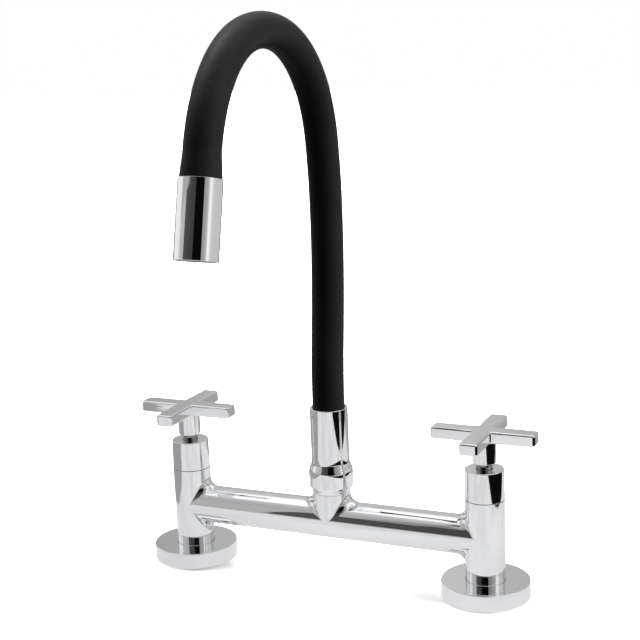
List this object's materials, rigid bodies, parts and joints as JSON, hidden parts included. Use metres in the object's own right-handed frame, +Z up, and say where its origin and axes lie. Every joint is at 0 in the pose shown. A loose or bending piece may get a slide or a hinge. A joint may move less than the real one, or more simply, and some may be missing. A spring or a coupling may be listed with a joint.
{
  "type": "kitchen mixer tap",
  "caption": "Chrome bridge kitchen mixer tap with cross handles, round cover flanges and a tall flexible black spout that swivels and bends, ending in a chrome outlet barrel.",
  "frame": {"origin": "midway between the two inlets, on the plane of the worktop", "axes": "+Z up, +X along the bridge to the right-hand handle, -Y forward, the way the spout faces"},
  "size_m": [0.264, 0.1984, 0.3501],
  "materials": {
    "chrome": "polished chrome plating on brass",
    "black_silicone": "smooth satin black silicone",
    "brass": "turned brass",
    "seal_rubber": "black moulded rubber",
    "ceramic": "lapped white ceramic",
    "steel": "stainless steel",
    "gooseneck_alloy": "turned aluminium",
    "nylon": "moulded white plastic"
  },
  "bodies": {
    "base": {"bridge_body": "chrome", "left_inlet_collar": "chrome", "left_flange": "chrome", "left_flange_gasket": "seal_rubber", "left_seat_seal": "seal_rubber", "left_cartridge_body": "brass", "left_fixed_disc": "ceramic", "left_bonnet_sleeve": "chrome", "right_inlet_collar": "chrome", "right_flange": "chrome", "right_flange_gasket": "seal_rubber", "right_seat_seal": "seal_rubber", "right_cartridge_body": "brass", "right_fixed_disc": "ceramic", "right_bonnet_sleeve": "chrome"},
    "left_handle": {"left_cross_handle": "chrome", "left_spindle": "brass", "left_moving_disc": "ceramic", "left_spindle_seals": "seal_rubber", "left_spindle_clip": "steel", "left_grub_screw": "steel"},
    "right_handle": {"right_cross_handle": "chrome", "right_spindle": "brass", "right_moving_disc": "ceramic", "right_spindle_seals": "seal_rubber", "right_spindle_clip": "steel", "right_grub_screw": "steel"},
    "spout": {"spout_socket": "chrome", "swivel_spigot": "brass", "swivel_seals": "seal_rubber", "retaining_ring": "nylon", "gooseneck_root": "gooseneck_alloy", "silicone_sleeve": "black_silicone", "water_hose": "nylon"},
    "link_1": {"gooseneck_link_1": "gooseneck_alloy"},
    "link_2": {"gooseneck_link_2": "gooseneck_alloy"},
    "link_3": {"gooseneck_link_3": "gooseneck_alloy"},
    "link_4": {"gooseneck_link_4": "gooseneck_alloy"},
    "link_5": {"gooseneck_link_5": "gooseneck_alloy"},
    "link_6": {"gooseneck_link_6": "gooseneck_alloy"},
    "link_7": {"gooseneck_link_7": "gooseneck_alloy"},
    "link_8": {"gooseneck_link_8": "gooseneck_alloy"},
    "outlet": {"gooseneck_link_9": "gooseneck_alloy", "outlet_adaptor": "brass", "outlet_barrel": "chrome", "aerator_washer": "seal_rubber", "aerator_housing": "nylon", "aerator_mesh": "nylon"}
  },
  "joints": [
    {"name": "left_handle_turn", "type": "hinge", "parent": "base", "child": "left_handle", "pos_m": [-0.1, 0, 0.08], "axis": [0, 0, 1], "range_deg": [0, 90]},
    {"name": "right_handle_turn", "type": "hinge", "parent": "base", "child": "right_handle", "pos_m": [0.1, 0, 0.08], "axis": [0, 0, -1], "range_deg": [0, 90]},
    {"name": "spout_swivel", "type": "hinge", "parent": "base", "child": "spout", "pos_m": [0, 0, 0.0558], "axis": [0, 0, 1], "continuous": true},
    {"name": "spout_bend_1", "type": "hinge", "parent": "spout", "child": "link_1", "pos_m": [0, 0, 0.1102], "axis": [1, 0, 0], "range_deg": [-5, 5], "deforming": ["silicone_sleeve", "water_hose"]},
    {"name": "spout_bend_2", "type": "hinge", "parent": "link_1", "child": "link_2", "pos_m": [0, 0.00243, 0.15171], "axis": [1, 0, 0], "range_deg": [-5, 5]},
    {"name": "spout_bend_3", "type": "hinge", "parent": "link_2", "child": "link_3", "pos_m": [0, 0.0062, 0.19313], "axis": [1, 0, 0], "range_deg": [-5, 5]},
    {"name": "spout_bend_4", "type": "hinge", "parent": "link_3", "child": "link_4", "pos_m": [0, 0.00725, 0.23471], "axis": [1, 0, 0], "range_deg": [-5, 5]},
    {"name": "spout_bend_5", "type": "hinge", "parent": "link_4", "child": "link_5", "pos_m": [0, 0.00395, 0.27614], "axis": [1, 0, 0], "range_deg": [-5, 5]},
    {"name": "spout_bend_6", "type": "hinge", "parent": "link_5", "child": "link_6", "pos_m": [0, -0.01263, 0.31374], "axis": [1, 0, 0], "range_deg": [-5, 5]},
    {"name": "spout_bend_7", "type": "hinge", "parent": "link_6", "child": "link_7", "pos_m": [0, -0.0467, 0.33655], "axis": [1, 0, 0], "range_deg": [-5, 5]},
    {"name": "spout_bend_8", "type": "hinge", "parent": "link_7", "child": "link_8", "pos_m": [0, -0.08782, 0.33824], "axis": [1, 0, 0], "range_deg": [-5, 5]},
    {"name": "spout_bend_9", "type": "hinge", "parent": "link_8", "child": "outlet", "pos_m": [0, -0.12329, 0.3178], "axis": [1, 0, 0], "range_deg": [-5, 5]}
  ],
  "couplings": [
    {"joint": "spout_bend_2", "follows": "spout_bend_1", "ratio": 1},
    {"joint": "spout_bend_3", "follows": "spout_bend_1", "ratio": 1},
    {"joint": "spout_bend_4", "follows": "spout_bend_1", "ratio": 1},
    {"joint": "spout_bend_5", "follows": "spout_bend_1", "ratio": 1},
    {"joint": "spout_bend_6", "follows": "spout_bend_1", "ratio": 1},
    {"joint": "spout_bend_7", "follows": "spout_bend_1", "ratio": 1},
    {"joint": "spout_bend_8", "follows": "spout_bend_1", "ratio": 1},
    {"joint": "spout_bend_9", "follows": "spout_bend_1", "ratio": 1}
  ]
}
